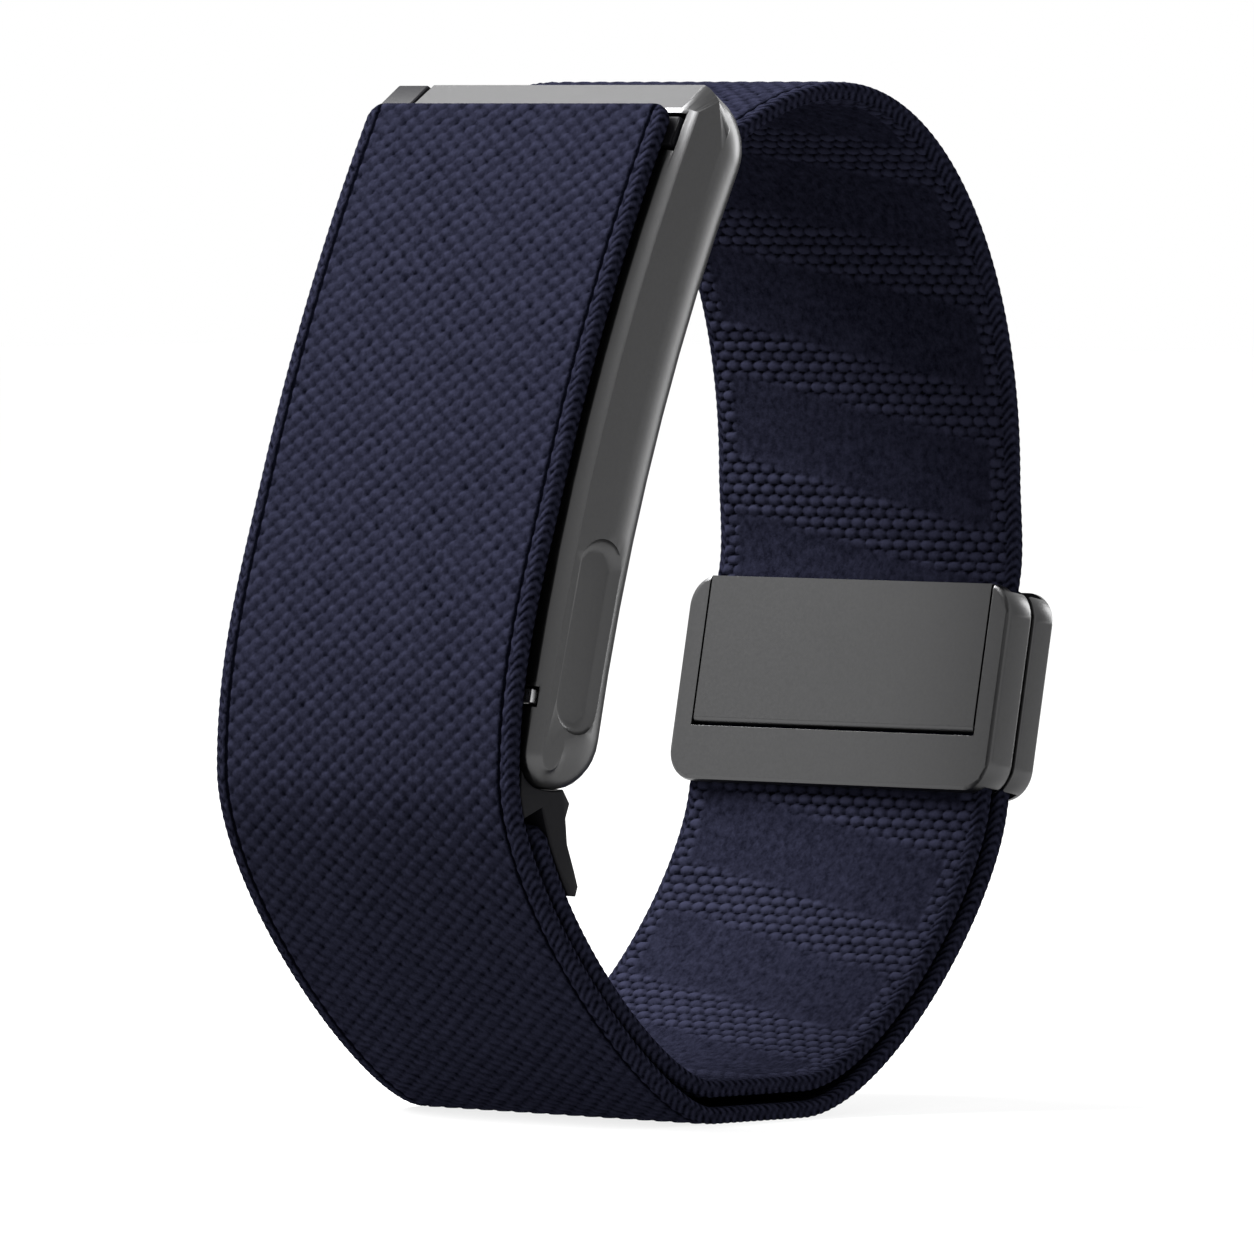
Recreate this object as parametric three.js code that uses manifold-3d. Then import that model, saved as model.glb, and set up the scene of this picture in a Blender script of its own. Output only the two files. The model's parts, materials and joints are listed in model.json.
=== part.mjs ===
// Fitness tracker band: a slim tracker pod under a knitted cover strap, closed
// into a wrist loop by a two-storey metal buckle with a clamp lever.
// Units are millimetres. X runs across the strap, the pod faces -Y, +Z is up.
import * as THREE from 'three';
import Module from 'manifold-3d';
import { mergeVertices } from 'three/addons/utils/BufferGeometryUtils.js';

const wasm = await Module();
wasm.setup();

// ---- driving sizes -------------------------------------------------------
const strapWidth = 23.9;
const strapThickness = 0.95;
const layerGap = 0.6; // air between the two strap layers
const loopDepth = 42.1; // front strap centre line to back strap centre line
const loopHeight = 59; // lowest strap centre line to highest
const restHalf = 3.75; // half length of the flat the band stands on
const clearance = 0.3;

const podLength = 42.8;
const podWidth = 26;
const podDepth = 6;
const podCurve = 130; // radius the pod is bent to, along its length
const podLean = 19.6; // degrees off vertical at mid length
const podWall = 1.9;
const coverSheet = 0.8;
const edgeAcross = 1.6; // long rounding of the pod's wrist-side edges, across the pod
const edgeDeep = 3; // and into its depth
const rimWidth = 1.05; // sloped rim beside the cover strap, across the pod
const rimDrop = 0.42; // and how far it falls to the crease
const recessLength = 11.4;
const recessWidth = 3.7;
const recessDepth = 0.6;
const recessSoftness = 0.7; // rounding of its rim

const buckleWidth = 26;
const buckleHeight = 12.4;
const bucklePlate = 0.7; // clamp side, thick enough for the lever's pin
const buckleCover = 0.45; // outer side
const buckleCorner = 1.9;
const buckleLean = 11.2;
const leverWidth = 22.6;
const leverDrop = 8.9; // how far the lever reaches down from the top edge
const strapPin = 0.7; // diameter of the pin that holds the inner strap
const leverPin = 0.36;
const barHeight = 1.6; // flat bar the outer strap is sewn round

const layerPitch = strapThickness + layerGap;
const halfStrap = strapThickness / 2;

// ---- finishes ------------------------------------------------------------
const finishes = {
  knit: { color: 0x26283e, roughness: 0.9, metalness: 0 },
  gunmetal: { color: 0x565656, roughness: 0.35, metalness: 1 },
  steel: { color: 0x9a9a9a, roughness: 0.3, metalness: 1 },
  blackPlastic: { color: 0x0a0a0b, roughness: 0.45, metalness: 0 },
  glassBlack: { color: 0x101214, roughness: 0.08, metalness: 0 },
  board: { color: 0x10402c, roughness: 0.5, metalness: 0 },
  cell: { color: 0xb8b9bc, roughness: 0.4, metalness: 0.6 },
  green: { color: 0x2fae5a, roughness: 0.3, metalness: 0 },
  gold: { color: 0xc9a349, roughness: 0.25, metalness: 1 },
  seal: { color: 0x1c1c1e, roughness: 0.8, metalness: 0 },
  tungsten: { color: 0x6f6f72, roughness: 0.4, metalness: 1 },
};

const root = new THREE.Group();
root.name = 'fitness_tracker_band';

function addPiece(name, geometry, finish) {
  const material = new THREE.MeshStandardMaterial(finishes[finish]);
  material.name = finish;
  const mesh = new THREE.Mesh(geometry, material);
  mesh.name = name;
  root.add(mesh);
  return mesh;
}

// ---- solid helpers -------------------------------------------------------
function toSolid(geometry) {
  const bare = geometry.clone();
  bare.deleteAttribute('normal');
  bare.deleteAttribute('uv');
  const merged = mergeVertices(bare, 1e-5);
  const mesh = new wasm.Mesh({
    numProp: 3,
    vertProperties: new Float32Array(merged.attributes.position.array),
    triVerts: new Uint32Array(merged.index.array),
  });
  mesh.merge();
  return new wasm.Manifold(mesh);
}

function fromSolid(solid) {
  const mesh = solid.getMesh();
  const geometry = new THREE.BufferGeometry();
  geometry.setAttribute('position', new THREE.BufferAttribute(mesh.vertProperties, 3));
  geometry.setIndex(new THREE.BufferAttribute(mesh.triVerts, 1));
  geometry.computeVertexNormals();
  return geometry;
}

function cut(body, tools) {
  let solid = toSolid(body);
  for (const tool of tools) {
    solid = solid.subtract(toSolid(tool));
  }
  return fromSolid(solid);
}

function join(pieces) {
  let solid = toSolid(pieces[0]);
  for (const piece of pieces.slice(1)) {
    solid = solid.add(toSolid(piece));
  }
  return fromSolid(solid);
}

// A side outline drawn in (y, z), extruded along X about the middle.
const sideways = new THREE.Matrix4().makeBasis(
  new THREE.Vector3(0, 1, 0),
  new THREE.Vector3(0, 0, 1),
  new THREE.Vector3(1, 0, 0),
);

function acrossX(outline, width, bevel = 0, middle = 0) {
  const geometry = new THREE.ExtrudeGeometry(new THREE.Shape(outline), {
    depth: width - 2 * bevel,
    bevelEnabled: bevel > 0,
    bevelSize: bevel,
    bevelThickness: bevel,
    bevelOffset: -bevel,
    bevelSegments: 3,
    steps: 1,
  });
  geometry.translate(0, 0, bevel - width / 2);
  geometry.applyMatrix4(sideways);
  geometry.translate(middle, 0, 0);
  return geometry;
}

// ---- the pod's bent coordinates -------------------------------------------
// u runs up the pod, v runs from its front face towards the wrist.
const lean = THREE.MathUtils.degToRad(podLean);
const podFaceY = -loopDepth / 2 + 5.9;
const podFaceZ = loopHeight * 0.6 + 5.45;

function podPoint(u, v) {
  const heading = lean + u / podCurve;
  const centreY = podFaceY + podCurve * Math.cos(lean);
  const centreZ = podFaceZ - podCurve * Math.sin(lean);
  return new THREE.Vector2(
    centreY - (podCurve - v) * Math.cos(heading),
    centreZ + (podCurve - v) * Math.sin(heading),
  );
}

function podOutline(corners) {
  const outline = [];
  corners.forEach(([u, v], i) => {
    const [nextU, nextV] = corners[(i + 1) % corners.length];
    const steps = Math.max(1, Math.round(Math.abs(nextU - u) / 4));
    for (let k = 0; k < steps; k += 1) {
      const t = k / steps;
      outline.push(podPoint(u + (nextU - u) * t, v + (nextV - v) * t));
    }
  });
  return outline;
}

function podSlab(u0, u1, v0, v1, width, middle = 0, bevel = 0) {
  const corners = [[u0, v0], [u1, v0], [u1, v1], [u0, v1]];
  return acrossX(podOutline(corners), width, bevel, middle);
}

function podRod(u, v, diameter, width, middle = 0) {
  const rod = new THREE.CylinderGeometry(diameter / 2, diameter / 2, width, 20);
  rod.rotateZ(Math.PI / 2);
  const centre = podPoint(u, v);
  rod.translate(middle, centre.x, centre.y);
  return rod;
}

// A disc whose axis runs through the pod from front to wrist.
function podDisc(x, u, v0, v1, diameter, segments = 24) {
  const disc = new THREE.CylinderGeometry(diameter / 2, diameter / 2, v1 - v0, segments);
  disc.rotateX(-(lean + u / podCurve));
  const centre = podPoint(u, (v0 + v1) / 2);
  disc.translate(x, centre.x, centre.y);
  return disc;
}

// ---- the buckle's straight coordinates -------------------------------------
// u runs up the buckle, n runs outwards from the inner strap's centre line.
const slant = THREE.MathUtils.degToRad(buckleLean);
const buckleY = loopDepth / 2 - 1.3;
const buckleZ = loopHeight * 0.4115;

function bucklePoint(u, n) {
  return new THREE.Vector2(
    buckleY + u * Math.sin(slant) + n * Math.cos(slant),
    buckleZ + u * Math.cos(slant) - n * Math.sin(slant),
  );
}

// A plate seen from the wrist side as a rounded rectangle, n0 to n1 thick.
function bucklePlateSolid(width, u0, u1, n0, n1, corner, bevel = 0) {
  const w = width / 2 - bevel;
  const lo = u0 + bevel;
  const hi = u1 - bevel;
  const r = Math.max(0.05, corner - bevel);
  const shape = new THREE.Shape();
  shape.moveTo(-w + r, lo);
  shape.lineTo(w - r, lo);
  shape.absarc(w - r, lo + r, r, -Math.PI / 2, 0, false);
  shape.lineTo(w, hi - r);
  shape.absarc(w - r, hi - r, r, 0, Math.PI / 2, false);
  shape.lineTo(-w + r, hi);
  shape.absarc(-w + r, hi - r, r, Math.PI / 2, Math.PI, false);
  shape.lineTo(-w, lo + r);
  shape.absarc(-w + r, lo + r, r, Math.PI, Math.PI * 1.5, false);
  const plate = new THREE.ExtrudeGeometry(shape, {
    depth: n1 - n0 - 2 * bevel,
    bevelEnabled: bevel > 0,
    bevelSize: bevel,
    bevelThickness: bevel,
    bevelSegments: 2,
    curveSegments: 6,
  });
  plate.translate(0, 0, n0 + bevel);
  // local z becomes the outward direction, local y runs up the buckle
  const place = new THREE.Matrix4().makeBasis(
    new THREE.Vector3(-1, 0, 0),
    new THREE.Vector3(0, Math.sin(slant), Math.cos(slant)),
    new THREE.Vector3(0, Math.cos(slant), -Math.sin(slant)),
  );
  plate.applyMatrix4(place);
  plate.translate(0, buckleY, buckleZ);
  return plate;
}

function buckleBox(width, u0, u1, n0, n1, middle = 0) {
  const outline = [bucklePoint(u0, n0), bucklePoint(u1, n0), bucklePoint(u1, n1), bucklePoint(u0, n1)];
  return acrossX(outline.reverse(), width, 0, middle);
}

function buckleRod(u, n, diameter, width, middle = 0) {
  const rod = new THREE.CylinderGeometry(diameter / 2, diameter / 2, width, 20);
  rod.rotateZ(Math.PI / 2);
  const centre = bucklePoint(u, n);
  rod.translate(middle, centre.x, centre.y);
  return rod;
}

// ---- strap paths -----------------------------------------------------------
function bend(from, fromDirection, fromReach, to, toDirection, toReach, steps = 12) {
  const curve = new THREE.CubicBezierCurve(
    from,
    from.clone().addScaledVector(fromDirection, fromReach),
    to.clone().addScaledVector(toDirection, -toReach),
    to,
  );
  return curve.getPoints(steps);
}

function strapOutline(path, halfThickness = halfStrap) {
  const outer = [];
  const inner = [];
  path.forEach((point, i) => {
    const before = path[Math.max(0, i - 1)];
    const after = path[Math.min(path.length - 1, i + 1)];
    const along = after.clone().sub(before).normalize();
    const side = new THREE.Vector2(-along.y, along.x).multiplyScalar(halfThickness);
    outer.push(point.clone().add(side));
    inner.push(point.clone().sub(side));
  });
  return outer.concat(inner.reverse());
}

function withoutRepeats(path) {
  return path.filter((point, i) => i === 0 || point.distanceTo(path[i - 1]) > 0.02);
}

const down = new THREE.Vector2(-Math.sin(slant), -Math.cos(slant));
const toFront = new THREE.Vector2(-1, 0);
const straightUp = new THREE.Vector2(0, 1);
const buckleReach = buckleHeight / 2 + 0.7;
const frontY = -loopDepth / 2;
const coverEnd = 2.4; // the cover strap stops this far short of the pod's top
const foldRise = 0.223; // the fold lies this far above the pod's lowest corner
const foldZ = podPoint(-podLength / 2, 0).y + foldRise;

// The layer path for an inward offset: 0 for the outer layer, layerPitch for the inner.
function lowerPath(inset) {
  const low = halfStrap + inset;
  const fromBuckle = bucklePoint(-buckleReach, layerPitch - inset);
  const restBack = new THREE.Vector2(restHalf - 0.75, low);
  const restFront = new THREE.Vector2(-restHalf - 0.75, low);
  const fold = new THREE.Vector2(frontY + inset, foldZ);
  return [
    ...bend(fromBuckle, down, 6.4 - inset * 0.4, restBack, toFront, 6.4 - inset * 0.4),
    restFront,
    ...bend(restFront, toFront, 4.3, fold, straightUp, 7.3),
  ];
}

const fold = new THREE.Vector2(frontY, foldZ);
const half = podLength / 2;
const barPlace = buckleHeight / 2 - 2.4;
const tailEnd = foldZ - 2.6; // height the inner strap's tail reaches

function makeStrapOuter() {
  const path = withoutRepeats([
    bucklePoint(barPlace + barHeight / 2 + 0.7, layerPitch),
    ...lowerPath(0),
  ]);
  const tunnel = buckleBox(strapWidth + 4, barPlace - barHeight / 2 - 0.1, barPlace + barHeight / 2 + 0.1,
    layerPitch - 0.18, layerPitch + 0.18);
  const socket = new THREE.CylinderGeometry(halfStrap + clearance, halfStrap + clearance, strapWidth + 4, 20);
  socket.rotateZ(Math.PI / 2);
  socket.translate(0, fold.x, fold.y);
  return cut(acrossX(strapOutline(path), strapWidth), [socket, tunnel]);
}

function coverPath() {
  const lift = -halfStrap - clearance - 0.12;
  const lowest = -podLength * 0.1;
  const meet = podPoint(lowest, lift);
  const heading = lean + lowest / podCurve;
  const along = new THREE.Vector2(Math.sin(heading), Math.cos(heading));
  const path = bend(fold, straightUp, 6.5, meet, along, 5.5, 10);
  const run = half - coverEnd - lowest;
  for (let k = 1; k <= 10; k += 1) {
    path.push(podPoint(lowest + (run * k) / 10, lift));
  }
  return path;
}

function makeStrapCover() {
  const knuckle = new THREE.CylinderGeometry(halfStrap, halfStrap, strapWidth, 20);
  knuckle.rotateZ(Math.PI / 2);
  knuckle.translate(0, fold.x, fold.y);
  return join([acrossX(strapOutline(coverPath()), strapWidth), knuckle]);
}

const pinU = half - 3.1;
const pinV = podDepth - 2.3;
const sleeve = 0.85; // radius of the sewn sleeve round the strap pin

function innerStart() {
  const pin = podPoint(pinU, pinV);
  const heading = new THREE.Vector2(Math.sin(lean + 0.75), Math.cos(lean + 0.75));
  const top = new THREE.Vector2(6.2, loopHeight + halfStrap);
  return bend(pin, heading, 3.4, top, new THREE.Vector2(1, 0), 4.4);
}

function makeStrapInner() {
  const top = new THREE.Vector2(6.2, loopHeight + halfStrap);
  const toBack = new THREE.Vector2(1, 0);
  const back = new THREE.Vector2(loopDepth / 2, loopHeight * 0.624);
  const path = withoutRepeats([
    ...innerStart(),
    ...bend(top, toBack, 8.4, back, new THREE.Vector2(0, -1), 12.7),
    ...bend(back, new THREE.Vector2(0, -1), 1.7, bucklePoint(buckleReach, 0), down, 1.7, 5),
    ...lowerPath(layerPitch),
  ]);
  const kept = path.filter((point) => point.y < tailEnd || point.x > frontY + 6);
  const strap = acrossX(strapOutline(kept), strapWidth);
  const sewn = join([strap, podRod(pinU, pinV, 2 * sleeve, strapWidth)]);
  return cut(sewn, [podRod(pinU, pinV, strapPin + 0.2, strapWidth + 4)]);
}

// ---- pod -------------------------------------------------------------------
const inside = podWidth - 2 * podWall;
const claspTop = half - coverEnd - 0.1;
const claspLow = claspTop - 2.2;
const tabWidth = 2.6; // release tab of the clasp, at one corner only
const tabMiddle = -podWidth / 2 + tabWidth / 2 + 0.25;
const lipLow = half - 2.1; // the bright lip above the cover strap's end starts here
const lipDrop = 1.1;
const footRound = 2.0; // rounding of the pod's lower front edge
const endRound = 3.4; // rounding of its lower wrist-side edge
const tabTravel = 0.45;
const hookPlace = -half + 5.0;

// How the pod's section turns into its side walls, for a place v deep in the pod
// and t from 0 at the start of the turn to 1 on the wall: a straight sloped rim
// beside the cover strap, blending into a round edge towards the wrist.
function edgeTurn(v, t) {
  const roundness = THREE.MathUtils.smoothstep(v, 0.3, 3);
  const angle = (Math.PI / 2) * t;
  const straight = [rimWidth * (1 - t), rimDrop * t];
  const round = [edgeAcross * (1 - Math.sin(angle)), edgeDeep * (1 - Math.cos(angle))];
  return [0, 1].map((i) => straight[i] + (round[i] - straight[i]) * roundness);
}

// The pod's side outline carried across X, its edges turned at both ends.
function turnedAcrossX(outline, width) {
  const count = outline.length;
  const turns = 7;
  const rings = [];
  const normalAt = (i) => {
    const along = outline[(i + 1) % count].clone().sub(outline[(i + count - 1) % count]);
    return new THREE.Vector2(-along.y, along.x).normalize();
  };
  const depthOf = (point) => {
    const centreY = podFaceY + podCurve * Math.cos(lean);
    const centreZ = podFaceZ - podCurve * Math.sin(lean);
    return podCurve - Math.hypot(point.x - centreY, point.y - centreZ);
  };
  const ring = (side, t) => outline.map((point, i) => {
    const [across, inset] = edgeTurn(depthOf(point), t);
    const flat = point.clone().addScaledVector(normalAt(i), -inset);
    return new THREE.Vector3(side * (width / 2 - across), flat.x, flat.y);
  });
  for (let k = turns; k >= 0; k -= 1) {
    rings.push(ring(-1, k / turns));
  }
  for (let k = 0; k <= turns; k += 1) {
    rings.push(ring(1, k / turns));
  }
  const positions = rings.flat().flatMap((point) => [point.x, point.y, point.z]);
  const index = [];
  for (let r = 0; r < rings.length - 1; r += 1) {
    for (let i = 0; i < count; i += 1) {
      const next = (i + 1) % count;
      const a = r * count + i;
      const b = r * count + next;
      index.push(a, b + count, b, a, a + count, b + count);
    }
  }
  const cap = (first) => {
    const flat = rings[first].map((point) => new THREE.Vector2(point.y, point.z));
    return THREE.ShapeUtils.triangulateShape(flat, []);
  };
  const last = rings.length - 1;
  cap(0).forEach(([a, b, c]) => index.push(c, b, a));
  cap(last).forEach(([a, b, c]) => index.push(last * count + a, last * count + b, last * count + c));
  const geometry = new THREE.BufferGeometry();
  geometry.setAttribute('position', new THREE.Float32BufferAttribute(positions, 3));
  geometry.setIndex(index);
  return geometry;
}

function makePodFrame() {
  const corners = [];
  const arc = (u, v, radius, from, to, steps) => {
    for (let k = 0; k <= steps; k += 1) {
      const angle = THREE.MathUtils.degToRad(from + ((to - from) * k) / steps);
      corners.push([u + radius * Math.cos(angle), v + radius * Math.sin(angle)]);
    }
  };
  corners.push([lipLow, 0]);
  corners.push([half, lipDrop]);
  arc(half - 3.2, podDepth - 3.2, 3.2, 10, 90, 8);
  arc(-half + endRound, podDepth - endRound, endRound, 90, 180, 8);
  arc(-half + footRound, footRound, footRound, 180, 270, 8);
  const body = turnedAcrossX(podOutline(corners), podWidth);
  const pocket = podSlab(-half + 3.4, half - 4.6, -1, podDepth + 1, inside);
  const claspSlot = podSlab(claspLow - 0.1, claspTop + 0.1, -1, 1.9, podWidth - 1.3);
  const tabNotch = podSlab(claspLow, half + 1, -1, 1.9, tabWidth + 1.2, tabMiddle - 0.4);
  const hookSlot = podSlab(hookPlace - 0.6, hookPlace + 0.6, -1, 0.65, strapWidth + 0.7);
  const sleeveRoom = podRod(pinU, pinV, 2 * sleeve + 0.6, strapWidth + 0.6);
  const pinHole = podRod(pinU, pinV, strapPin + 0.1, podWidth - 0.5);
  const exit = acrossX(strapOutline(innerStart().slice(0, 9), halfStrap + clearance), strapWidth + 0.6);
  const frame = cut(body, [pocket, claspSlot, tabNotch, hookSlot, sleeveRoom, pinHole, exit]);
  return cut(frame, [1, -1].map((side) => recessTool(side)));
}

// The long thumb recess: a stadium with a dished floor, sunk into the side wall.
function recessTool(side) {
  const r = recessWidth / 2;
  const reach = recessLength / 2 - r;
  const shape = new THREE.Shape();
  shape.moveTo(-reach, -r);
  shape.lineTo(reach, -r);
  shape.absarc(reach, 0, r, -Math.PI / 2, Math.PI / 2, false);
  shape.lineTo(-reach, r);
  shape.absarc(-reach, 0, r, Math.PI / 2, Math.PI * 1.5, false);
  const tool = new THREE.ExtrudeGeometry(shape, {
    depth: 2,
    bevelEnabled: true,
    bevelSize: recessSoftness,
    bevelThickness: recessSoftness,
    bevelOffset: -recessSoftness,
    bevelSegments: 5,
    curveSegments: 12,
  });
  // local x runs up the pod, local z out of the side wall
  const u = -half * 0.575;
  const heading = lean + u / podCurve;
  const up = new THREE.Vector3(0, Math.sin(heading), Math.cos(heading));
  const out = new THREE.Vector3(side, 0, 0);
  const third = new THREE.Vector3().crossVectors(out, up);
  tool.applyMatrix4(new THREE.Matrix4().makeBasis(up, third, out));
  const centre = podPoint(u, podDepth * 0.47);
  tool.translate(side * (podWidth / 2 - recessDepth + recessSoftness), centre.x, centre.y);
  return tool;
}

const roomLow = -half + 3.4 + clearance;
const roomHigh = half - 4.6 - clearance;
const contactPlace = roomHigh - 5.5;

function buildPod() {
  addPiece('pod_frame', makePodFrame(), 'gunmetal');
  const sheet = inside - 2 * clearance;
  addPiece('pod_front_cover', podSlab(hookPlace + 0.9, roomHigh, 0.15, 0.15 + coverSheet, sheet), 'blackPlastic');

  const windowHole = podDisc(0, -2, 1, podDepth + 4, 11.6, 40);
  const contactHoles = [-1, 1].map((side) => podDisc(side * 2.2, contactPlace, 1, podDepth + 4, 2.4));
  const backPlate = podSlab(roomLow, roomHigh, podDepth - 1.0, podDepth + 0.5, sheet, 0, 0.25);
  addPiece('pod_back_cover', cut(backPlate, [windowHole, ...contactHoles]), 'blackPlastic');

  const sealRing = podDisc(0, -2, podDepth - 0.9, podDepth + 0.3, 11.0, 40);
  const sealHole = podDisc(0, -2, podDepth - 3, podDepth + 3, 10.2, 40);
  addPiece('window_seal', cut(sealRing, [sealHole]), 'seal');
  addPiece('optical_window', podDisc(0, -2, podDepth - 0.7, podDepth + 0.8, 9.6, 40), 'glassBlack');

  const boardBack = podDepth - 1.5;
  addPiece('circuit_board', podSlab(roomLow + 0.4, roomHigh - 0.4, boardBack - 0.5, boardBack, sheet - 1), 'board');
  const cellFront = 0.15 + coverSheet + 0.2;
  addPiece('battery_cell', podSlab(roomLow + 9.2, roomHigh - 4.5, cellFront, boardBack - 0.75, sheet - 3.2), 'cell');
  addPiece('antenna_strip', podSlab(roomHigh - 3.3, roomHigh - 0.9, cellFront, cellFront + 0.4, sheet - 5), 'gold');

  const hapticX = -5.5;
  const caseFront = cellFront;
  const caseBack = boardBack - 0.75;
  const [caseLow, caseHigh] = [roomLow + 1.5, roomLow + 7.5];
  const shell = podSlab(caseLow, caseHigh, caseFront, caseBack, 8.4, hapticX);
  const room = podSlab(caseLow + 0.3, caseHigh - 0.3, caseFront + 0.25, caseBack + 1, 7.8, hapticX);
  addPiece('haptic_case', cut(shell, [room]), 'steel');
  addPiece('haptic_mass', podSlab(caseLow + 0.8, caseHigh - 0.8, caseFront + 0.5, caseBack - 0.15, 5.4, hapticX), 'tungsten');
  addPiece('motion_sensor', podSlab(caseLow + 1.7, caseLow + 4.7, caseBack - 0.7, caseBack, 3, 4.5), 'blackPlastic');

  const lampPlaces = [-1, 0, 1];
  lampPlaces.forEach((place, i) => {
    const lamp = podDisc(place * 2.6, -2, boardBack + 0.1, boardBack + 0.55, 1.1, 12);
    addPiece(`sensor_led_${i + 1}`, lamp, 'green');
  });
  [1, -1].forEach((side, i) => {
    const eye = podSlab(-2 + side * 2.6 - 0.7, -2 + side * 2.6 + 0.7, boardBack + 0.1, boardBack + 0.5, 1.8);
    addPiece(`photodiode_${i + 1}`, eye, 'glassBlack');
  });
  [-1, 1].forEach((side, i) => {
    const contact = podDisc(side * 2.2, contactPlace, boardBack + 0.1, podDepth + 0.55, 1.7);
    addPiece(`charge_contact_${i + 1}`, contact, 'gold');
  });
}

// ---- clasp at the pod's top, hook near its bottom -----------------------------
function buildClasp() {
  addPiece('clasp_bar', podSlab(claspLow + 0.35, claspTop - 0.35, 0.25, 1.5, 17.6), 'steel');
  const tabOutline = [
    [claspLow + 0.2, -0.1], [lipLow - 0.1, -0.1], [half - 0.1, lipDrop - 0.15],
    [half - 0.1, 1.8 - tabTravel], [claspLow + 0.2, 1.8 - tabTravel],
  ];
  const tab = acrossX(podOutline(tabOutline), tabWidth, 0.2, tabMiddle);
  addPiece('clasp_release_tab', tab, 'blackPlastic');
  const block = podSlab(claspLow + 0.2, claspTop - 0.2, -0.1, 1.6, tabWidth, 10.9, 0.15);
  addPiece('clasp_end_block', block, 'blackPlastic');
  addPiece('hook_bar', podSlab(hookPlace - 0.4, hookPlace + 0.4, -0.25, 0.4, strapWidth + 0.4), 'steel');
  addPiece('strap_pin', podRod(pinU, pinV, strapPin, podWidth - 0.7), 'steel');
}

function makeTailKeeper() {
  const layer = lowerPath(layerPitch).filter((point) => point.x < frontY + 8 && point.y > foldZ * 0.55);
  const face = (t) => {
    const place = t * (layer.length - 1);
    const i = Math.min(layer.length - 2, Math.floor(place));
    const point = layer[i].clone().lerp(layer[i + 1], place - i);
    const along = layer[i + 1].clone().sub(layer[i]).normalize();
    return { point, side: new THREE.Vector2(along.y, -along.x) };
  };
  const offset = (t, distance) => {
    const { point, side } = face(t);
    return point.clone().addScaledVector(side, halfStrap + clearance + distance);
  };
  const wristSide = [[0.06, 0.5], [0.1, 0.95], [0.2, 1.15], [0.4, 1.3], [0.6, 1.7], [0.75, 2.3]];
  const strapSide = [0.76, 0.65, 0.5, 0.35, 0.2, 0.1];
  const shape = wristSide.map(([t, thickness]) => offset(t, thickness));
  const gap = 0.06; // under the pod's rounded foot
  const under = (u, v, radius, from, to) => {
    for (let k = 0; k <= 4; k += 1) {
      const angle = THREE.MathUtils.degToRad(from + ((to - from) * k) / 4);
      shape.push(podPoint(u + (radius + gap) * Math.cos(angle), v + (radius + gap) * Math.sin(angle)));
    }
  };
  under(-half + endRound, podDepth - endRound, endRound, 158, 180);
  under(-half + footRound, footRound, footRound, 180, 232);
  shape.push(new THREE.Vector2(frontY + halfStrap + clearance, foldZ - 0.9));
  shape.push(new THREE.Vector2(frontY + halfStrap + 2 * clearance, tailEnd + clearance));
  strapSide.forEach((t) => shape.push(offset(t, 0)));
  return acrossX(shape, strapWidth - 0.6, 0.12);
}

// ---- buckle ------------------------------------------------------------------
const clampFace = -halfStrap - clearance / 2 - bucklePlate;
const webFrom = halfStrap + clearance / 2;
const webTo = webFrom + 0.16;
const coverFrom = layerPitch - halfStrap - clearance / 2;
const outerFace = layerPitch + halfStrap + clearance / 2 + buckleCover;
const leverTop = buckleHeight / 2;
const leverLow = leverTop - leverDrop;
const leverPinU = leverLow + bucklePlate / 2;
const leverPinN = clampFace + bucklePlate / 2;

function makeLever() {
  const panel = buckleBox(leverWidth, leverPinU, leverTop - 0.05, clampFace, clampFace + bucklePlate);
  const barrel = buckleRod(leverPinU, leverPinN, bucklePlate, leverWidth);
  const bore = buckleRod(leverPinU, leverPinN, leverPin + 0.12, leverWidth + 2);
  const cushion = buckleBox(leverWidth - 3, 1.2, 4.6, clampFace + bucklePlate - 0.22, clampFace + 3);
  return cut(join([panel, barrel]), [bore, cushion]);
}

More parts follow.
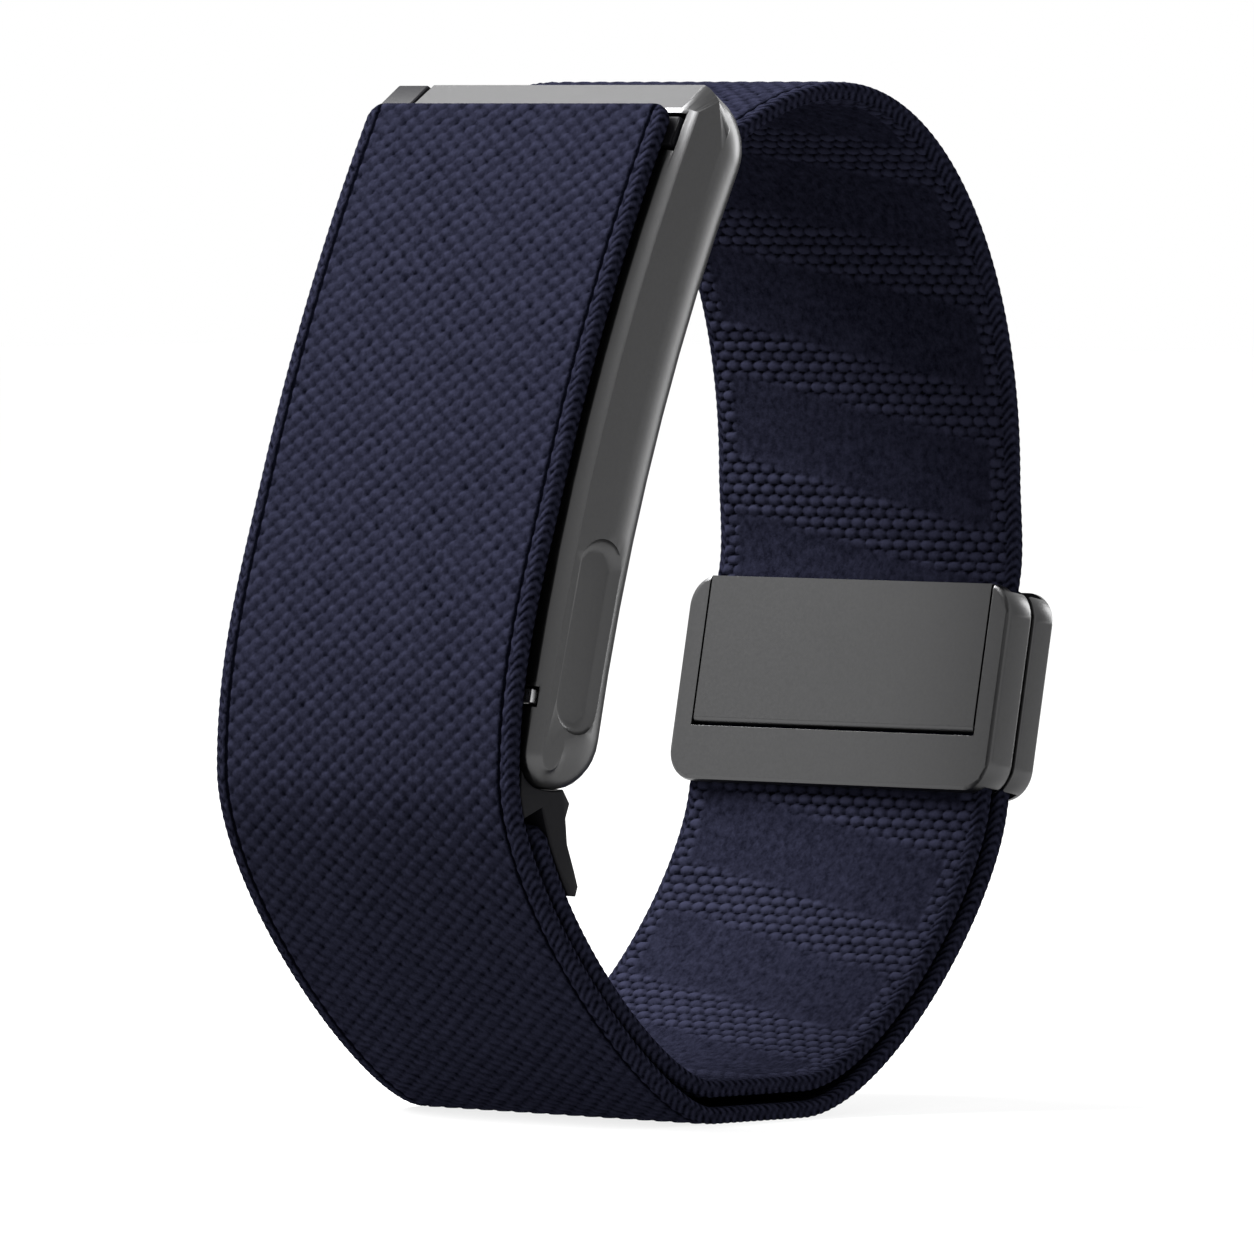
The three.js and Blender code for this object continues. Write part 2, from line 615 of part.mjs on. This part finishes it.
function buildBuckle() {
  const top = buckleHeight / 2;
  const opening = strapWidth + 2 * clearance;
  const clampBody = bucklePlateSolid(buckleWidth, -top, top, clampFace, webTo, buckleCorner, 0.3);
  const strapSlot = buckleBox(opening, -top - 2, top + 2, clampFace + bucklePlate, webFrom);
  const leverBay = buckleBox(leverWidth + 0.3, leverLow - 0.2, top + 2, clampFace - 1, webFrom - 0.3);
  const pinBore = buckleRod(leverPinU, leverPinN, leverPin + 0.1, leverWidth + 1.7);
  addPiece('buckle_clamp_frame', cut(clampBody, [strapSlot, leverBay, pinBore]), 'gunmetal');
  addPiece('buckle_lever', makeLever(), 'gunmetal');
  addPiece('buckle_lever_pin', buckleRod(leverPinU, leverPinN, leverPin, leverWidth + 1.4), 'steel');
  const pad = buckleBox(leverWidth - 3.4, 1.4, 4.4, clampFace + bucklePlate - 0.19, clampFace + bucklePlate + 0.05);
  addPiece('buckle_grip_pad', pad, 'seal');

  const shim = bucklePlateSolid(buckleWidth - 0.7, -top + 0.4, top - 0.4, webTo + 0.015, coverFrom - 0.035, 1.5);
  addPiece('buckle_shim', shim, 'steel');
  const coverBody = bucklePlateSolid(buckleWidth, -top, top, coverFrom - 0.02, outerFace, buckleCorner, 0.2);
  const outerSlot = buckleBox(opening, -top - 2, top + 2, coverFrom - 2, outerFace - buckleCover);
  const barSlot = buckleBox(buckleWidth - 0.35, barPlace - barHeight / 2 - 0.08, barPlace + barHeight / 2 + 0.08,
    layerPitch - 0.17, layerPitch + 0.17);
  addPiece('buckle_outer_frame', cut(coverBody, [outerSlot, barSlot]), 'gunmetal');
  const bar = buckleBox(buckleWidth - 0.5, barPlace - barHeight / 2, barPlace + barHeight / 2,
    layerPitch - 0.12, layerPitch + 0.12);
  addPiece('buckle_strap_bar', bar, 'steel');
}

buildPod();
buildClasp();
addPiece('tail_keeper', makeTailKeeper(), 'blackPlastic');
addPiece('strap_cover', makeStrapCover(), 'knit');
addPiece('strap_outer', makeStrapOuter(), 'knit');
addPiece('strap_inner', makeStrapInner(), 'knit');
buildBuckle();

// The origin is the middle of the footprint, on the surface the band stands on.
const extent = new THREE.Box3().setFromObject(root);
root.children.forEach((piece) => {
  piece.position.set(
    -(extent.min.x + extent.max.x) / 2,
    -(extent.min.y + extent.max.y) / 2,
    -extent.min.z,
  );
});

export default root;
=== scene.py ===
"""Fitness tracker band: curved metal pod, knitted straps and a two-storey buckle."""

import json
import math

import bpy
import numpy as np
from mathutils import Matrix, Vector


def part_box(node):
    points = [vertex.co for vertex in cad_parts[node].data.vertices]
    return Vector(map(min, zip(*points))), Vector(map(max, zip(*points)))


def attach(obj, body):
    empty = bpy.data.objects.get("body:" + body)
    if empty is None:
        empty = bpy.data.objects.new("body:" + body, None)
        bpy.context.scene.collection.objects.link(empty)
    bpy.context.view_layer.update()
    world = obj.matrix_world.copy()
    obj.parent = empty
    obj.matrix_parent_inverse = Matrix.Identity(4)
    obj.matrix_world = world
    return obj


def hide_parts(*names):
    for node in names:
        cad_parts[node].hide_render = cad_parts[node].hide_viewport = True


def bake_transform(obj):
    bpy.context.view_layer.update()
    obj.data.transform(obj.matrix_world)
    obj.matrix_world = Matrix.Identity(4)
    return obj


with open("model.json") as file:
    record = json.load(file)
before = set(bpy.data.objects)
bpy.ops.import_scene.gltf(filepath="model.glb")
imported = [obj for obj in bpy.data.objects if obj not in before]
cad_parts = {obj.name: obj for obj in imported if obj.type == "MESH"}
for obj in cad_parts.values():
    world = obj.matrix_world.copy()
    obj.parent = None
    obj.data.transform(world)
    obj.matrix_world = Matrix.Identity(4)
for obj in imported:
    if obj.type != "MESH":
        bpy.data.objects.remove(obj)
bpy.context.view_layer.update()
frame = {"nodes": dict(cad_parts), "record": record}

MM = 0.001

# ---- sizes shared by the pieces ------------------------------------------
strap_low, strap_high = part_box("strap_outer")
STRAP_WIDTH = strap_high.x - strap_low.x
STRAP_THICK = 0.95 * MM
FRAME_EDGE = 0.12 * MM
SMALL_EDGE = 0.08 * MM
SHARP_TURN = math.radians(28)

# ---- knit, in millimetres --------------------------------------------------
# SCALE is the outer face, BUMP and BAND the wrist face, BRAID and SEAM the long edges.
SCALE_WIDTH = 1.42
SCALE_PITCH = 0.5
SCALE_RELIEF = 0.3
BUMP_WIDTH = 1.12
BUMP_PITCH = 0.62
BUMP_RELIEF = 0.22
BAND_PERIOD = 8.3
BAND_SLOPE = -0.2
BAND_SHARE = 0.5
BAND_FADE = 0.1
BAND_BORDER = 1.9
BORDER_FADE = 0.35
SEAM_IN = 0.92
SEAM_HALF = 0.11
SEAM_DEPTH = 0.2
BRAID_WIDTH = 0.62
BRAID_PERIOD = 0.56
BRAID_RELIEF = 0.05
RIM_ROUND = 0.34
END_CORNER = 1.1
STEP_ACROSS = 0.13
STEP_ALONG = 0.105


# ---- shader maths as plain expressions -----------------------------------
class Value:
    """One shader socket, so that maths can be written with ordinary operators."""

    def __init__(self, paint, socket):
        self.paint = paint
        self.socket = socket

    def _math(self, kind, *others):
        return self.paint.node("ShaderNodeMath", {"operation": kind}, dict(enumerate((self, *others))))

    def __add__(self, other):
        return self._math("ADD", other)

    __radd__ = __add__

    def __sub__(self, other):
        return self._math("SUBTRACT", other)

    def __rsub__(self, other):
        return self.paint.node("ShaderNodeMath", {"operation": "SUBTRACT"}, dict(enumerate((other, self))))

    def __mul__(self, other):
        return self._math("MULTIPLY", other)

    __rmul__ = __mul__

    def clamp(self):
        return self.paint.node("ShaderNodeClamp", {}, {"Value": self})


class Paint:
    """A new material with a Principled shader and helpers to wire it."""

    def __init__(self, name):
        self.material = bpy.data.materials.new(name)
        self.material.use_nodes = True
        self.nodes = self.material.node_tree.nodes
        self.links = self.material.node_tree.links
        self.shader = self.nodes["Principled BSDF"]
        self.place = self.node("ShaderNodeTexCoord", {}, {}, "Object")

    def node(self, kind, settings, values, output=0):
        made = self.nodes.new(kind)
        for key, value in settings.items():
            setattr(made, key, value)
        for key, value in values.items():
            self.feed(made.inputs[key], value)
        return Value(self, made.outputs[output])

    def feed(self, socket, value):
        if isinstance(value, Value):
            self.links.new(value.socket, socket)
        else:
            socket.default_value = value

    def set(self, **values):
        for key, value in values.items():
            self.feed(self.shader.inputs[key.replace("_", " ")], value)
        return self

    def noise(self, scale, detail=2.0, roughness=0.5):
        return self.node(
            "ShaderNodeTexNoise",
            {},
            {"Vector": self.place, "Scale": scale, "Detail": detail, "Roughness": roughness},
            "Fac",
        )

    def mix(self, factor, dark, light):
        made = self.nodes.new("ShaderNodeMix")
        made.data_type = "RGBA"
        self.feed(made.inputs[0], factor)
        self.feed(made.inputs[6], (*dark, 1) if isinstance(dark, tuple) else dark)
        self.feed(made.inputs[7], (*light, 1) if isinstance(light, tuple) else light)
        return Value(self, made.outputs[2])

    def attribute(self, name):
        return self.node("ShaderNodeAttribute", {"attribute_name": name}, {}, "Fac")

    def bump(self, height, distance, strength=1.0):
        return self.node(
            "ShaderNodeBump", {}, {"Height": height, "Distance": distance, "Strength": strength}, "Normal"
        )


def knit_yarn():
    """Navy yarn with a painted highlight on the crests of the stitches and painted shade, near black,
    between them.
    """
    paint = Paint("navy knit yarn")
    rise = paint.attribute("rise")
    fuzz = paint.noise(2100.0, 4.0, 0.75)
    patch = paint.noise(160.0, 2.0)
    # Painted light and shade: the taller a stitch, the paler its colour, standing in for lit crests and
    # shaded grooves.
    crest_light_groove_shade = ((rise - 0.3) * 1.25 + (fuzz - 0.5) * 1.5 + 0.12).clamp()
    colour = paint.mix(crest_light_groove_shade, (0.0007, 0.0008, 0.0018), (0.0150, 0.0157, 0.0285))
    colour = paint.mix(patch * 0.15, colour, (0.0045, 0.0047, 0.0090))
    paint.set(Base_Color=colour, Roughness=0.82 + fuzz * 0.12, Specular_IOR_Level=0.0)
    paint.set(Normal=paint.bump(fuzz, 0.00008, 0.8))
    return paint.material


def metal(name, colour, roughness, grain=1.0):
    """A satin metal with a fine blasted grain and a slow drift in tone."""
    paint = Paint(name)
    fine = paint.noise(5200.0 * grain, 2.0, 0.6)
    broad = paint.noise(90.0, 2.0)
    light = tuple(min(1.0, c * 1.12) for c in colour)
    dark = tuple(c * 0.9 for c in colour)
    paint.set(
        Base_Color=paint.mix(fine * 0.6 + broad * 0.4, dark, light),
        Metallic=1.0,
        Roughness=(roughness - 0.03) + fine * 0.06,
    )
    paint.set(Normal=paint.bump(fine, 0.000004, 0.35))
    return paint.material


def plastic(name, colour, roughness, shine=0.05):
    """A moulded surface with a faint speckle."""
    paint = Paint(name)
    fine = paint.noise(3800.0, 2.0)
    light = tuple(c * 1.35 + 0.001 for c in colour)
    paint.set(Base_Color=paint.mix(fine, colour, light), Roughness=(roughness - 0.05) + fine * 0.1)
    paint.set(Specular_IOR_Level=shine)
    paint.set(Normal=paint.bump(fine, 0.000008, 0.3))
    return paint.material


KNIT = knit_yarn()
GUNMETAL = metal("satin gunmetal coating", (0.066, 0.066, 0.067), 0.32)
STEEL = metal("plain satin steel", (0.42, 0.42, 0.43), 0.28)
DENSE = metal("sintered heavy metal", (0.18, 0.18, 0.19), 0.5)
GOLD = metal("gold plate", (0.72, 0.47, 0.14), 0.22)
FOIL = metal("battery foil", (0.55, 0.55, 0.57), 0.38, 0.3)
BLACK = plastic("fine black moulding", (0.004, 0.004, 0.005), 0.42)
GLASS = plastic("dark sensor glass", (0.004, 0.005, 0.006), 0.08, 0.5)
BOARD = plastic("green solder resist", (0.008, 0.05, 0.022), 0.45)
LAMP = plastic("green lamp lens", (0.03, 0.4, 0.1), 0.2)
SEAL = plastic("matt black rubber", (0.009, 0.009, 0.010), 0.75)

FINISH_OF = {
    "gunmetal": GUNMETAL,
    "gunmetal_anodised": GUNMETAL,
    "steel": STEEL,
    "dense_metal": DENSE,
    "gold": GOLD,
    "cell": FOIL,
    "black_plastic": BLACK,
    "dark_glass": GLASS,
    "board": BOARD,
    "lamp": LAMP,
    "seal": SEAL,
    "knit": KNIT,
}


# ---- edges of the hard pieces ---------------------------------------------
def soften(obj, width):
    """Rounds the edges that turn by more than SHARP_TURN."""
    bevel = obj.modifiers.new("rounded edges", "BEVEL")
    bevel.width = width
    bevel.segments = 3
    bevel.limit_method = "ANGLE"
    bevel.angle_limit = SHARP_TURN
    bevel.miter_outer = "MITER_ARC"


def smooth(obj):
    """Curved faces shade evenly; the welded seams let the shading run across them."""
    if "custom_normal" in obj.data.attributes:
        obj.data.attributes.remove(obj.data.attributes["custom_normal"])
    obj.data.shade_smooth()


def weld(obj):
    """Joins the points that neighbouring faces share."""
    joiner = obj.modifiers.new("welded seams", "WELD")
    joiner.merge_threshold = 1e-7


def steady(obj):
    """Large flat faces keep their own direction next to small rounded edges."""
    weighted = obj.modifiers.new("flat faces stay flat", "WEIGHTED_NORMAL")
    weighted.mode = "FACE_AREA_WITH_ANGLE"
    weighted.weight = 60


for part in frame["record"]["subparts"]:
    node = frame["nodes"][part["node"]]
    node.data.materials.clear()
    node.data.materials.append(FINISH_OF[part["material_slot"]])


# ---- strap surfaces --------------------------------------------------------
def bezier(a, b, c, d, count):
    """count points of a cubic curve from a to d, in a strap's own plane."""
    t = np.linspace(0, 1, count)[:, None]
    return a * (1 - t) ** 3 + 3 * b * t * (1 - t) ** 2 + 3 * c * t * t * (1 - t) + d * t ** 3


# The strap paths are the centre lines of the strap solids, in millimetres, as (y, z).
SLANT = math.radians(11.2)
LEAN = math.radians(19.6)
LOOP_DEPTH = 42.1
LOOP_HEIGHT = 59.0
LAYER_PITCH = 1.55
POD_CURVE = 130.0
POD_HALF = 21.4
POD_DEPTH = 6.0
FOLD_RISE = 0.223
COVER_END = 2.4
COVER_GAP = 0.42
REST_BACK = 3.0
REST_FRONT = -4.5
BUCKLE_REACH = 6.9
STRAP_IN_BUCKLE = 5.3
TAIL_BELOW_FOLD = 2.6
UNDER_POD_Y = -15.0
PIN_FROM_TOP = 3.1
PIN_IN = 2.3
POD_FACE_Y = -LOOP_DEPTH / 2 + 5.9
POD_FACE_Z = LOOP_HEIGHT * 0.6 + 5.45
BUCKLE_Y = LOOP_DEPTH / 2 - 1.3
BUCKLE_Z = LOOP_HEIGHT * 0.4115
LOOP_SHIFT = strap_low.y / MM + LOOP_DEPTH / 2 + STRAP_THICK / MM / 2


def pod_point(u, v):
    """u along the pod's curved face from its middle, v into the pod."""
    heading = LEAN + u / POD_CURVE
    y = POD_FACE_Y + POD_CURVE * math.cos(LEAN) - (POD_CURVE - v) * math.cos(heading)
    z = POD_FACE_Z - POD_CURVE * math.sin(LEAN) + (POD_CURVE - v) * math.sin(heading)
    return np.array([y, z])


def buckle_point(u, n):
    """u up along the buckle from its middle, n out of the loop."""
    y = BUCKLE_Y + u * math.sin(SLANT) + n * math.cos(SLANT)
    z = BUCKLE_Z + u * math.cos(SLANT) - n * math.sin(SLANT)
    return np.array([y, z])


DOWN = np.array([-math.sin(SLANT), -math.cos(SLANT)])
FRONTWARD = np.array([-1.0, 0.0])
BACKWARD = np.array([1.0, 0.0])
UP = np.array([0.0, 1.0])
FOLD = np.array([-LOOP_DEPTH / 2, pod_point(-POD_HALF, 0)[1] + FOLD_RISE])

# In the three paths below, the lengths beside a direction are the curves' handles.


def lower_path(inset):
    """From the buckle down round the bottom to the fold, inset inside the outer layer."""
    low = STRAP_THICK / MM / 2 + inset
    start = buckle_point(-BUCKLE_REACH, LAYER_PITCH - inset)
    rest_back = np.array([REST_BACK, low])
    rest_front = np.array([REST_FRONT, low])
    fold = FOLD + np.array([inset, 0])
    reach = 6.4 - inset * 0.4
    return np.vstack([
        bezier(start, start + DOWN * reach, rest_back - FRONTWARD * reach, rest_back, 60),
        bezier(rest_front, rest_front + FRONTWARD * 4.3, fold - UP * 7.3, fold, 60),
    ])


def cover_path():
    """From the fold up over the pod's face to the clasp."""
    lift = -STRAP_THICK / MM / 2 - COVER_GAP
    lowest = -POD_HALF * 0.2
    meet = pod_point(lowest, lift)
    heading = LEAN + lowest / POD_CURVE
    along = np.array([math.sin(heading), math.cos(heading)])
    bent = bezier(FOLD, FOLD + UP * 6.5, meet - along * 5.5, meet, 60)
    straight = [pod_point(u, lift) for u in np.linspace(lowest, POD_HALF - COVER_END, 90)]
    return np.vstack([bent, straight])


def over_path():
    """From the pin at the pod's top over the wrist and into the buckle."""
    pin = pod_point(POD_HALF - PIN_FROM_TOP, POD_DEPTH - PIN_IN)
    heading = np.array([math.sin(LEAN + 0.75), math.cos(LEAN + 0.75)])
    top = np.array([6.2, LOOP_HEIGHT + STRAP_THICK / MM / 2])
    back = np.array([LOOP_DEPTH / 2, LOOP_HEIGHT * 0.624])
    buckle_top = buckle_point(BUCKLE_REACH, 0)
    return np.vstack([
        bezier(pin, pin + heading * 3.4, top - BACKWARD * 4.4, top, 40),
        bezier(top, top + BACKWARD * 8.4, back + UP * 12.7, back, 70),
        bezier(back, back - UP * 1.7, buckle_top - DOWN * 1.7, buckle_top, 20),
    ])


def resample(path, step):
    """Even steps along a path: the length so far, the points and the direction at each."""
    keep = np.r_[True, np.linalg.norm(np.diff(path, axis=0), axis=1) > 1e-6]
    path = path[keep]
    lengths = np.r_[0, np.cumsum(np.linalg.norm(np.diff(path, axis=0), axis=1))]
    count = int(round(lengths[-1] / step)) + 1
    s = np.linspace(0, lengths[-1], count)
    even = np.column_stack([np.interp(s, lengths, path[:, i]) for i in (0, 1)])
    tangent = np.gradient(even, axis=0)
    tangent /= np.linalg.norm(tangent, axis=1)[:, None]
    return s, even, tangent


def smoothstep(x):
    x = np.clip(x, 0, 1)
    return x * x * (3 - 2 * x)


# Below, x is the place across a strap and s the place along it, in millimetres.
def scale_stitch(x, s):
    """Height 0..1 of overlapping rounded scales laid in staggered rows."""
    reach = SCALE_WIDTH * 0.56
    tallest = np.zeros(np.broadcast(x, s).shape)
    row = np.floor(s / SCALE_PITCH)
    for ahead in (-1, 0, 1, 2):
        r = row + ahead
        offset = np.where(np.mod(r, 2) > 0.5, 0.5, 0.0) * SCALE_WIDTH
        across = (x - offset) / SCALE_WIDTH
        across = (across - np.round(across)) * SCALE_WIDTH
        along = s - (r + 0.5) * SCALE_PITCH
        away = np.hypot(across, along * 1.25) / reach
        dome = np.clip(1 - away ** 3, 0, 1) ** 0.7
        tilt = np.clip(0.6 + 0.6 * along / reach, 0.05, 1.2)
        tallest = np.maximum(tallest, dome * tilt)
    return np.clip(tallest, 0, 1)


def diagonal_bands(x, s):
    """1 where the raised bands of the wrist face run, 0 on the smooth ground."""
    phase = np.mod((s + x * BAND_SLOPE) / BAND_PERIOD, 1.0)
    rise = smoothstep(phase / BAND_FADE) * smoothstep((BAND_SHARE - phase) / BAND_FADE)
    half = STRAP_WIDTH / MM / 2
    near = smoothstep((np.abs(x) - (half - BAND_BORDER)) / BORDER_FADE)
    return np.maximum(rise, near)


def bump_stitch(x, s):
    """Height 0..1 of the plainer raised stitches of the wrist face, each a little uneven."""
    row = np.floor(s / BUMP_PITCH)
    cx = x / BUMP_WIDTH + np.where(np.mod(row, 2) > 0.5, 0.5, 0.0)
    u = (cx - np.floor(cx) - 0.5) * 2
    v = (s / BUMP_PITCH - row - 0.5) * 2
    uneven = 0.5 + 0.5 * np.sin(np.floor(cx) * 12.9 + row * 78.2)
    dome = np.sqrt(np.clip(1 - (u * 0.95) ** 2 - (v * 0.9) ** 2, 0, 1))
    return 0.2 + dome * (0.65 + 0.3 * uneven)


def rounded_end(x, to_end):
    """Draws the columns in at the strap's far end, and gives each point's way in from the rim."""
    half = STRAP_WIDTH / MM / 2
    missing = np.clip(END_CORNER - to_end, 0, None)
    narrow = END_CORNER - np.sqrt(np.clip(END_CORNER ** 2 - missing ** 2, 0, None))
    x = x * (half - narrow) / half
    side_gap = half - np.abs(x)
    in_corner = END_CORNER - np.hypot(np.clip(END_CORNER - side_gap, 0, None), missing)
    inset = np.minimum(np.minimum(side_gap, to_end), np.where(side_gap < END_CORNER, in_corner, 99.0))
    return x, side_gap, np.clip(inset, 0, None)


def face_stitches(surface, x, s, side_gap, which):
    """The rise 0..1, which paints highlight on the yarn's crests and shade in its grooves, and the relief
    in millimetres, of one face.
    """
    if surface == "scales":
        rise = scale_stitch(x, s)
        relief = (rise - 0.55) * SCALE_RELIEF
        seam = np.exp(-(((side_gap - SEAM_IN) / SEAM_HALF) ** 4))
        relief = relief * (1 - seam) - seam * SEAM_DEPTH
        # Painted shade: the seam's groove is coloured near black, as shade falling into it.
        rise = rise * (1 - seam) - seam * 0.6
    elif surface == "bands":
        band = diagonal_bands(x, s)
        rise = bump_stitch(x, s) * band + (1 - band) * 0.52
        relief = (rise - 0.55) * BUMP_RELIEF * band
    else:
        rise = np.full_like(x, 0.3)
        relief = rise * 0
    braid = 0.5 + 0.5 * np.sin(2 * math.pi * (s * which + side_gap * 1.1) / BRAID_PERIOD)
    # On the braided edges the painted highlight and shade follow the braid's ridges.
    rise = np.where(side_gap < BRAID_WIDTH, 0.25 + 0.6 * braid, rise)
    relief = np.where(side_gap < BRAID_WIDTH, (braid - 0.5) * BRAID_RELIEF, relief)
    return rise, relief


def closed_skin(rows, columns):
    """Quads over an outer grid of points, a second grid under it, and the rim between them."""
    grid = np.arange(rows * columns).reshape(rows, columns)
    quad = np.stack([grid[:-1, :-1], grid[:-1, 1:], grid[1:, 1:], grid[1:, :-1]], axis=-1)
    quad = quad.reshape(-1, 4)
    low = grid + rows * columns
    return np.vstack([
        quad,
        quad[:, ::-1] + rows * columns,
        np.stack([grid[:-1, 0], grid[1:, 0], low[1:, 0], low[:-1, 0]], axis=-1),
        np.stack([grid[1:, -1], grid[:-1, -1], low[:-1, -1], low[1:, -1]], axis=-1),
        np.stack([grid[0, 1:], grid[0, :-1], low[0, :-1], low[0, 1:]], axis=-1),
        np.stack([grid[-1, :-1], grid[-1, 1:], low[-1, 1:], low[-1, :-1]], axis=-1),
    ])


def strap_mesh(name, path, faces):
    """A closed strap along path, whose outer face is on the path's left, and its length.

    faces names the surface of the outer and of the wrist side.
    """
    s, centre_line, tangent = resample(path, STEP_ALONG)
    side = np.column_stack([-tangent[:, 1], tangent[:, 0]])
    half = STRAP_WIDTH / MM / 2
    columns = int(round(2 * half / STEP_ACROSS)) + 1
    flat_x, flat_s = np.meshgrid(np.linspace(-half, half, columns), s)
    flat_x, side_gap, inset = rounded_end(flat_x, (s[-1] - s)[:, None])
    lip = np.sqrt(np.clip(1 - (1 - np.clip(inset / RIM_ROUND, 0, 1)) ** 2, 0, 1))
    verts = []
    rises = []
    for which, surface in ((1, faces[0]), (-1, faces[1])):
        rise, relief = face_stitches(surface, flat_x, flat_s, side_gap, which)
        level = (STRAP_THICK / MM / 2 * (0.42 + 0.58 * lip) + relief * lip) * which
        y = centre_line[:, 0][:, None] + side[:, 0][:, None] * level + LOOP_SHIFT
        z = centre_line[:, 1][:, None] + side[:, 1][:, None] * level
        verts.append(np.stack([flat_x, y, z], axis=-1).reshape(-1, 3))
        rises.append(rise.reshape(-1))
    mesh = bpy.data.meshes.new(name)
    mesh.from_pydata((np.vstack(verts) * MM).tolist(), [], closed_skin(len(s), columns).tolist())
    mesh.shade_smooth()
    # The rise of each point, which the yarn paint turns into a painted highlight on the crests and painted
    # shade between the stitches.
    layer = mesh.attributes.new("rise", "FLOAT", "POINT")
    layer.data.foreach_set("value", np.concatenate(rises).astype(np.float32))
    mesh.materials.append(KNIT)
    obj = bpy.data.objects.new(name, mesh)
    bpy.context.collection.objects.link(obj)
    return obj, float(s[-1] - s[0])


outer_path = np.vstack([
    buckle_point(STRAP_IN_BUCKLE, LAYER_PITCH)[None],
    lower_path(0)[:-1],
    cover_path(),
])
inner_path = np.vstack([over_path()[2:], lower_path(LAYER_PITCH)])
# The inner strap's tail stops behind the keeper, below the fold.
under_pod = inner_path[:, 0] <= UNDER_POD_Y
inner_path = inner_path[~under_pod | (inner_path[:, 1] < FOLD[1] - TAIL_BELOW_FOLD)]

outer_strap, outer_length = strap_mesh("outer_knit_strap", outer_path, ("scales", "plain"))
inner_strap, inner_length = strap_mesh("inner_knit_strap", inner_path, ("scales", "bands"))
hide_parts("strap_outer", "strap_cover")
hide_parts("strap_inner")
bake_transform(outer_strap)
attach(inner_strap, "band")

for name, node in frame["nodes"].items():
    if not node.hide_render:
        large = name.startswith("buckle") or name == "pod_frame"
        smooth(node)
        weld(node)
        soften(node, FRAME_EDGE if large else SMALL_EDGE)
        steady(node)


# ---- studio, in metres ---------------------------------------------------------
AZIMUTH = math.radians(43.9)
ELEVATION = math.radians(1.875)
CENTRE_HEIGHT = 0.03005
CAMERA_AWAY = 0.8873
LAMP_AWAY = 0.6
BACK_LAMP_AWAY = 0.45
CARD_AWAY = 0.3
CARD_HALF = 0.09
CARD_TOP = 0.3
CARD_FOOT = -0.03
FLOOR_HALF = 2

right = Vector((math.cos(AZIMUTH), math.sin(AZIMUTH), 0))
ahead = Vector((-math.sin(AZIMUTH), math.cos(AZIMUTH), 0))
up = Vector((0, 0, 1))
toward = up * math.sin(ELEVATION) - ahead * math.cos(ELEVATION)
centre = up * CENTRE_HEIGHT


def studio_panel(name, corners, material):
    """A flat sheet with four corners that is no part of the object."""
    mesh = bpy.data.meshes.new(name)
    mesh.from_pydata([tuple(corner) for corner in corners], [], [(0, 1, 2, 3)])
    mesh.materials.append(material)
    panel = bpy.data.objects.new(name, mesh)
    bpy.context.collection.objects.link(panel)


def lamp(name, where, size, power):
    """A softbox that faces the object's centre."""
    light = bpy.data.lights.new(name, "AREA")
    light.shape = "RECTANGLE"
    light.size, light.size_y = size
    light.energy = power
    obj = bpy.data.objects.new(name, light)
    obj.location = where
    obj.rotation_euler = (centre - where).to_track_quat("-Z", "Y").to_euler()
    bpy.context.collection.objects.link(obj)


def floor_paint():
    """A pale floor that glows a little, so that it stays white behind the object."""
    paint = Paint("pale studio floor")
    grain = paint.noise(6.0, 2.0)
    paint.set(Base_Color=paint.mix(grain, (0.125, 0.125, 0.125), (0.135, 0.135, 0.135)))
    paint.set(Roughness=0.95, Emission_Color=(1, 1, 1, 1), Emission_Strength=0.8)
    return paint.material


scene = bpy.context.scene
scene.world = bpy.data.worlds.new("studio")
scene.world.use_nodes = True
background = scene.world.node_tree.nodes["Background"]
background.inputs["Color"].default_value = (1, 1, 1, 1)
background.inputs["Strength"].default_value = 1.0

floor_corners = [
    Vector((x * FLOOR_HALF, y * FLOOR_HALF, 0)) for x, y in ((-1, -1), (1, -1), (1, 1), (-1, 1))
]
studio_panel("floor", floor_corners, floor_paint())
lamp("key softbox", centre + Vector((-0.51, -0.32, 0.80)) * LAMP_AWAY, (0.40, 0.40), 21.0)
lamp("back softbox", centre + Vector((0.09, 0.99, 0.12)) * BACK_LAMP_AWAY, (0.16, 0.3), 1.1)

# A grey card beside the set keeps the side walls of the metal from washing out.
card_foot = centre + right * CARD_AWAY
card_corners = [
    card_foot + ahead * side * CARD_HALF + up * height
    for side, height in ((-1, CARD_FOOT), (1, CARD_FOOT), (1, CARD_TOP), (-1, CARD_TOP))
]
studio_panel("dark card", card_corners, plastic("dark card paint", (0.16, 0.16, 0.16), 0.8))

camera_data = bpy.data.cameras.new("camera")
camera_data.lens = 437
camera_data.sensor_width = 36
camera_data.shift_x = -0.0044
camera_data.shift_y = -0.025
camera_data.clip_end = 20
camera = bpy.data.objects.new("camera", camera_data)
camera.location = centre + toward * CAMERA_AWAY
camera.rotation_euler = (-toward).to_track_quat("-Z", "Y").to_euler()
bpy.context.collection.objects.link(camera)
scene.camera = camera
scene.view_settings.view_transform = "Standard"
